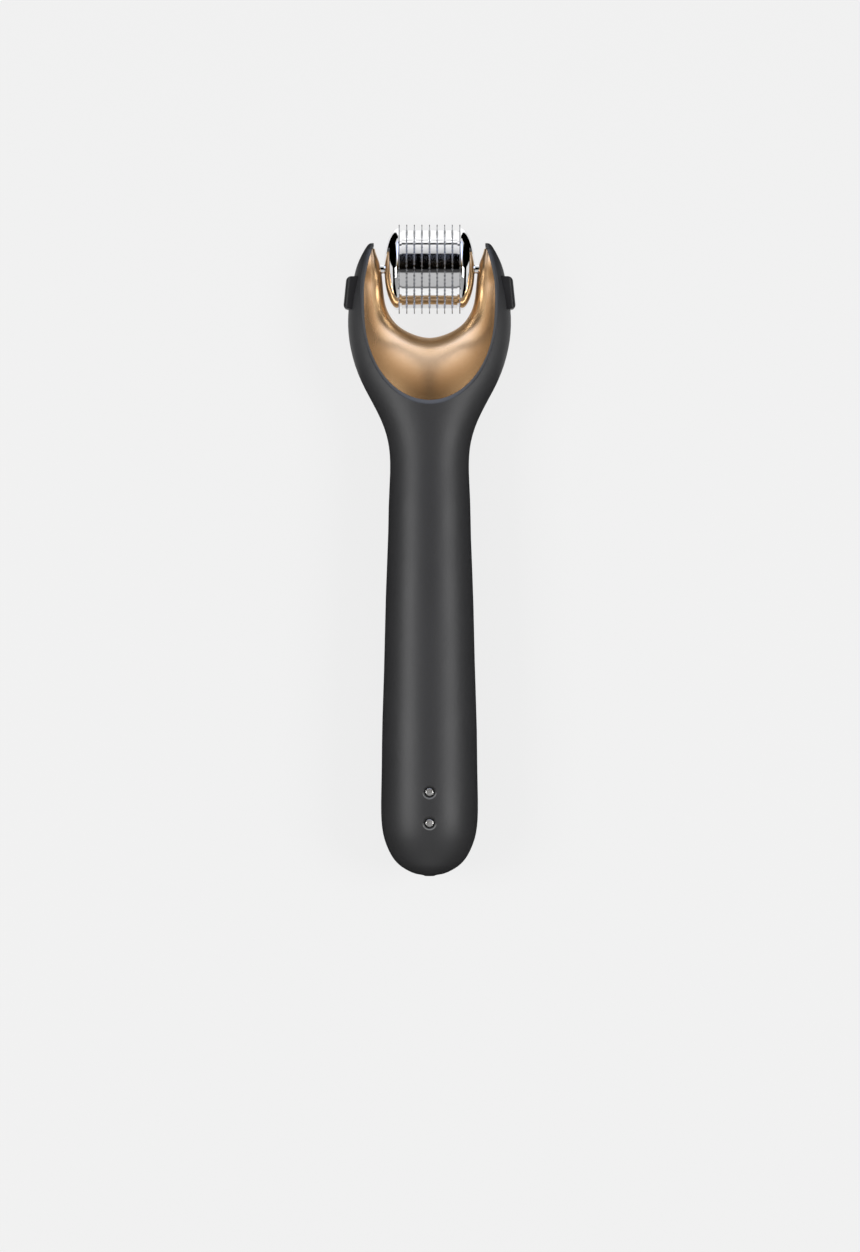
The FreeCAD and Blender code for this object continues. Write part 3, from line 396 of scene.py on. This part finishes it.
button_inner = 0.0179
button_rim = 0.021
rim_slant, rim_round = 0.0009, 0.0013
inner_round = 0.00045
tab_size, tab_overlap = 0.0006, 0.0002
tab_bottom, tab_top = 0.010, 0.014
nose_end, nose_overlap = 0.01625, 0.0005
nose_near, nose_far = 0.06845, 0.06948
nose_bottom, nose_top = 0.0108, 0.0132
for side, word in ((-1, "left"), (1, "right")):
    name = word + "_release_button"
    low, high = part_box(name)
    outer = side * max(abs(low.x), abs(high.x))
    inner = side * button_inner
    cap = solid_block(word + "_button_cap", (inner, low.y + tab_size, low.z),
                      (outer, high.y, high.z))
    pick(cap, lambda point: point.y > high.y - 0.0001 and abs(point.x) > button_rim)
    bpy.ops.transform.translate(value=(side * -rim_slant, 0, 0))
    bpy.ops.object.mode_set(mode="OBJECT")
    round_edges(cap, lambda point: abs(point.x) > button_rim, rim_round, 8)
    round_edges(cap, lambda point: abs(point.x) < button_inner + 0.00005, inner_round, 3)
    tab = solid_block("tab", (inner, low.y, tab_bottom),
                      (inner + side * tab_size, low.y + tab_size + tab_overlap, tab_top))
    nose = solid_block("nose", (side * nose_end, nose_near, nose_bottom),
                       (inner + side * nose_overlap, nose_far, nose_top))
    bpy.ops.object.select_all(action="DESELECT")
    for part in (tab, nose, cap):
        part.select_set(True)
    bpy.context.view_layer.objects.active = cap
    bpy.ops.object.join()
    stand_in(cap, satin_black, "black_button", name, name)

# Power button: a round key in the front shell, moulded in the same satin black with a
# softly rounded rim.

key_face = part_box("power_button")[0].z
key_round = 0.0004
key = own_copy("power_button", "power_key")
round_edges(key, lambda point: point.z < key_face + 0.00002, key_round, 5)
stand_in(key, satin_black, "black_button", "power_button", "power_button")

# Charging contacts: turned nickel-plated pins, just below the surface in two bevelled recesses of
# the rear shell. Each has a rubber seal behind it.


def turned_nickel(name, along):
    paint = Paint(name)
    point, x, y, z = paint.place()
    radius = (x * x + (y - along) * (y - along)).root()
    rings = (radius * 52000.0).wave()
    haze = paint.noise(point, 900.0, 3.0)
    return paint.set({
        "Base Color": paint.mix(haze, (0.5, 0.5, 0.49, 1), (0.62, 0.61, 0.59, 1)),
        "Metallic": 1.0,
        "Roughness": haze.spread(0.3, 0.7, 0.26, 0.38),
        "Normal": paint.bump(rings, 0.1, 0.00001),
    }).material


def disc(name, centre, radius, bottom, top):
    """Upright round block of 64 sides."""
    bpy.ops.object.select_all(action="DESELECT")
    bpy.ops.mesh.primitive_cylinder_add(vertices=64, radius=radius, depth=top - bottom,
                                        location=(centre[0], centre[1], (top + bottom) / 2))
    made = bpy.context.object
    made.name = name
    bpy.ops.object.transform_apply(location=True, rotation=True, scale=True)
    return made


head_radius, flange_radius, stem_radius = 0.0011, 0.0018, 0.0005
head_rim, head_round = 0.023, 0.0003
flange_bottom, flange_top = 0.0211, 0.0216
overlap = 0.0001
for word in ("low", "high"):
    name = "charge_contact_" + word
    low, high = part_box(name)
    centre = (0.0, (low.y + high.y) / 2)
    pin = disc("contact_pin_" + word, centre, head_radius, flange_top - overlap, high.z)
    round_edges(pin, lambda point: point.z > head_rim, head_round, 6)
    flange = disc("flange", centre, flange_radius, flange_bottom, flange_top)
    stem = disc("stem", centre, stem_radius, low.z, flange_bottom + overlap)
    bpy.ops.object.select_all(action="DESELECT")
    for part in (flange, stem, pin):
        part.select_set(True)
    bpy.context.view_layer.objects.active = pin
    bpy.ops.object.join()
    stand_in(pin, turned_nickel("turned_nickel_" + word, centre[1]), "nickel", "handle", name)

# Inner frame, hub and key stem: natural white nylon, with the dull haze of a moulded part. Four
# screws go through the frame and the main board into the front shell.

nylon = moulded("white_nylon", (0.62, 0.62, 0.59), (0.7, 0.7, 0.67), 0.45, 1500.0, 0.00003)
wear(nylon, "inner_frame", "hub", "switch_stem")

# Seals, battery pad and motor sleeve: soft dark rubber. The seals lie between the contacts and the
# rear shell, and the sleeve lies between the motor and the frame.

rubber = moulded("soft_rubber", (0.02, 0.02, 0.02), (0.03, 0.03, 0.03), 0.7, 2500.0, 0.00005)
wear(rubber, "contact_seals", "battery_pad", "motor_sleeve")

# Boards: green solder mask over copper tracks, with black moulded chips and the key switch. The
# main board lies against the frame, and the charging board is screwed down behind the contacts.


def solder_mask():
    paint = Paint("solder_mask")
    point = paint.point()
    tracks = paint.node("TexBrick", {"offset": 0.5, "squash": 1.0}, {
        "Vector": point, "Scale": 420.0, "Mortar Size": 0.05,
        "Color1": (0, 0, 0, 1), "Color2": (0, 0, 0, 1), "Mortar": (1, 1, 1, 1)})
    haze = paint.noise(point, 500.0, 2.0)
    mask = paint.mix(haze, (0.006, 0.09, 0.03, 1), (0.008, 0.12, 0.045, 1))
    return paint.set({
        "Base Color": paint.mix(tracks, mask, (0.03, 0.24, 0.1, 1)),
        "Roughness": haze.spread(0.3, 0.7, 0.22, 0.3),
        "Normal": paint.bump(tracks, 0.3, 0.00003),
    }).material


wear(solder_mask(), "main_board", "charge_board")
epoxy = moulded("chip_epoxy", (0.012, 0.012, 0.013), (0.02, 0.02, 0.021), 0.5, 6000.0, 0.00002)
wear(epoxy, "charge_chip", "control_chip", "key_switch")

# Battery: a steel cell in blue shrink wrap that folds over both rims. It lies in the frame, with a
# metal tab at each end that reaches down to the main board.


def shrink_wrap():
    paint = Paint("shrink_wrap")
    point, x, y, z = paint.place()
    low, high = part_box("battery")
    end = abs(y - (low.y + high.y) / 2).spread((high.y - low.y) / 2 - 0.0006, (high.y - low.y) / 2)
    crease = paint.noise(point, 300.0, 3.0, stretch=(1, 0.2, 1))
    tone = paint.mix(crease, (0.02, 0.09, 0.3, 1), (0.03, 0.12, 0.38, 1))
    return paint.set({
        "Base Color": paint.mix(end, tone, (0.5, 0.5, 0.5, 1)),
        "Roughness": crease.spread(0.3, 0.7, 0.22, 0.34),
        "Normal": paint.bump(crease, 0.2, 0.0001),
    }).material


wear(shrink_wrap(), "battery")
wear(steel, "battery_tabs")

# Vibration motor: a drawn steel can in a rubber sleeve, at the roller end of the frame. An
# eccentric weight of sintered brass turns with its shaft.

wear(chrome("drawn_can", 0.6, 0.25), "motor")


def sintered_brass():
    paint = Paint("sintered_brass")
    point = paint.point()
    pores = paint.noise(point, 5000.0, 4.0)
    return paint.set({
        "Base Color": paint.mix(pores, (0.42, 0.32, 0.16, 1), (0.56, 0.44, 0.22, 1)),
        "Metallic": 1.0,
        "Roughness": pores.spread(0.2, 0.8, 0.35, 0.55),
        "Normal": paint.bump(pores, 0.3, 0.00002),
    }).material


wear(sintered_brass(), "eccentric_weight")

# Wires: stranded, in red insulation on the right and black on the left. One pair joins the two
# boards, and the other joins the motor to the main board.


def insulation():
    paint = Paint("wire_insulation")
    point, x, y, z = paint.place()
    haze = paint.noise(point, 1200.0, 2.0)
    side = x.below(0.0)
    red = paint.mix(haze, (0.4, 0.02, 0.015, 1), (0.5, 0.03, 0.02, 1))
    return paint.set({
        "Base Color": paint.mix(side, red, (0.015, 0.015, 0.015, 1)),
        "Roughness": haze.spread(0.3, 0.7, 0.3, 0.42),
        "Normal": paint.bump(haze, 0.15, 0.00003),
    }).material


wear(insulation(), "charge_leads", "motor_leads")

# Status light: a clear light pipe in the front shell over a small lamp on the board. A collar
# inside the shell keeps the pipe from falling out.


def clear_pipe():
    paint = Paint("clear_pipe")
    point = paint.point()
    haze = paint.noise(point, 1500.0, 2.0)
    return paint.set({
        "Base Color": paint.mix(haze, (0.75, 0.8, 0.84, 1), (0.85, 0.88, 0.9, 1)),
        "Roughness": haze.spread(0.3, 0.7, 0.12, 0.22),
        "Transmission Weight": 0.6,
        "IOR": 1.49,
        "Normal": paint.bump(haze, 0.1, 0.00002),
    }).material


wear(clear_pipe(), "light_pipe", "status_led")

# Studio: a pale floor under the part, and a camera looking straight down. Cards that show only in
# reflections: a narrow arc over the drum and a bright strip ahead of it, a wide arc over the
# saddle, and black ones beside the part. A soft lamp on each side lights the handle.

card_level = 0.02


def card(name, corners, stops=((-90, (0, 0, 0)), (90, (0, 0, 0))), centre_y=0.0):
    """Card that shows only in reflections, coloured by the angle from straight up."""
    rows = len(corners) // 2
    mesh = bpy.data.meshes.new(name)
    mesh.from_pydata(corners, [], [(2 * row, 2 * row + 1, 2 * row + 3, 2 * row + 2)
                                   for row in range(rows - 1)])
    made = bpy.data.objects.new(name, mesh)
    bpy.context.scene.collection.objects.link(made)
    paint = Paint(name)
    point, x, y, z = paint.place()
    turn = (y - centre_y).maths("ARCTAN2", z - card_level)
    glow = paint.node("ValToRGB", {"stops": [((angle + 90) / 180, colour)
                                             for angle, colour in stops]},
                      {"Fac": turn.spread(-math.pi / 2, math.pi / 2)})
    paint.set({"Base Color": (0, 0, 0, 1), "Specular IOR Level": 0.0, "Roughness": 1.0,
               "Emission Color": glow, "Emission Strength": 1.0})
    made.data.materials.append(paint.material)
    made.visible_camera = False
    made.visible_diffuse = False
    made.visible_shadow = False
    made.visible_transmission = False


def arc(name, radius, half_width, centre_y, stops):
    """Card bent over the part from one horizon to the other, towards +Y."""
    corners = []
    for degrees in range(-90, 91, 5):
        turn = math.radians(degrees)
        for x in (-half_width, half_width):
            corners.append((x, centre_y + radius * math.sin(turn),
                            card_level + radius * math.cos(turn)))
    card(name, corners, stops, centre_y)


def upright_card(name, x, near, far, height):
    """Black card on edge, along the part."""
    card(name, [(x, near, 0.0), (x, near, height), (x, far, 0.0), (x, far, height)])


def floor_card(name, inner, outer, near, far, level, *stops):
    """Card lying just above the floor."""
    card(name, [(inner, near, level), (outer, near, level),
                (inner, far, level), (outer, far, level)], *stops)


def grey(level):
    return (level, level, level)


arc("drum_arc", 0.50, 0.035, 0.0759, [
    (-90, grey(1.2)), (-63, grey(1.1)), (-61, grey(0.2)), (-57, grey(0.2)), (-55, grey(0.60)),
    (-15, grey(0.62)), (-13, grey(0.07)), (-5, grey(0.05)), (-3, grey(0.0)), (43, grey(0.0)),
    (44.5, grey(0.65)), (66, grey(1.0)), (73, grey(1.2)), (74.5, grey(0.0)), (80, grey(0.0)),
    (81.5, grey(1.3))])
high_floor, low_floor = 0.0004, 0.0002
floor_card("drum_floor", -0.016, 0.016, 0.092, 0.4, high_floor,
           [(-90, grey(1.3)), (90, grey(1.3))])
arc("saddle_arc", 0.70, 0.40, 0.048, [
    (-90, grey(0.6)), (-50, grey(0.4)), (-20, grey(0.32)), (-8, grey(0.06)),
    (0, (0.02, 0.01, 0.0)), (8, (0.06, 0.03, 0.0)), (15, (0.34, 0.25, 0.14)),
    (22, (0.72, 0.63, 0.58)), (28, (1.04, 1.04, 1.16)), (36, (1.30, 1.42, 1.85)),
    (46, (1.35, 1.56, 2.25)), (64, (1.35, 1.62, 2.50)), (76, (1.00, 1.14, 1.60)),
    (90, (0.70, 0.66, 0.62))])
arm_line, arm_reach, handle_reach = 0.082, 0.25, 0.15
ahead_end, behind_end = 0.35, -0.35
for side in (-1, 1):
    upright_card("arm_side", side * arm_reach, arm_line, ahead_end, 0.3)
    floor_card("arm_floor", side * 0.018, side * arm_reach, arm_line, ahead_end, high_floor)
    upright_card("handle_side", side * handle_reach, behind_end, arm_line, 0.07)
floor_card("handle_floor", -handle_reach, handle_reach, behind_end, 0.045, low_floor)

bpy.ops.object.select_all(action="DESELECT")
bpy.ops.mesh.primitive_plane_add(size=8.0, location=(0, 0, 0))
floor = bpy.context.object
floor.name = "floor"
pale = Paint("pale_floor")
matt = pale.node("BsdfDiffuse", None, {"Color": (0.8, 0.8, 0.8, 1)})
glow = pale.node("Emission", None, {"Color": (0.883, 0.883, 0.883, 1)})
seen = pale.node("LightPath", output="Is Camera Ray").maths(
    "MAXIMUM", pale.node("LightPath", output="Is Glossy Ray"))
pale.plug(pale.node("MixShader", None, {0: seen * 0.9, 1: matt, 2: glow}), pale.surface)
pale.tree.nodes.remove(pale.shader)
floor.data.materials.append(pale.material)

world = bpy.data.worlds.new("studio")
bpy.context.scene.world = world
world.use_nodes = True
background = world.node_tree.nodes["Background"]
background.inputs["Color"].default_value = (0.8, 0.8, 0.8, 1)
background.inputs["Strength"].default_value = 0.5


def lamp(name, place, target, size, size_y, power):
    data = bpy.data.lights.new(name, "AREA")
    data.shape = "RECTANGLE"
    data.size = size
    data.size_y = size_y
    data.energy = power
    made = bpy.data.objects.new(name, data)
    made.location = place
    direction = Vector(target) - Vector(place)
    made.rotation_euler = direction.to_track_quat("-Z", "Y").to_euler()
    bpy.context.scene.collection.objects.link(made)


for side in (-1, 1):
    lamp("side_lamp", (side * 0.64, -0.06, 0.60), (0, -0.05, 0.01), 0.38, 0.30, 3.9)

lens = bpy.data.cameras.new("photo_camera")
lens.sensor_width = 36.0
lens.lens = 150.0
lens.clip_end = 50.0
camera = bpy.data.objects.new("photo_camera", lens)
camera.location = (0.00013, -0.0204, 1.42)
bpy.context.scene.collection.objects.link(camera)
bpy.context.scene.camera = camera
bpy.context.scene.view_settings.view_transform = "Standard"
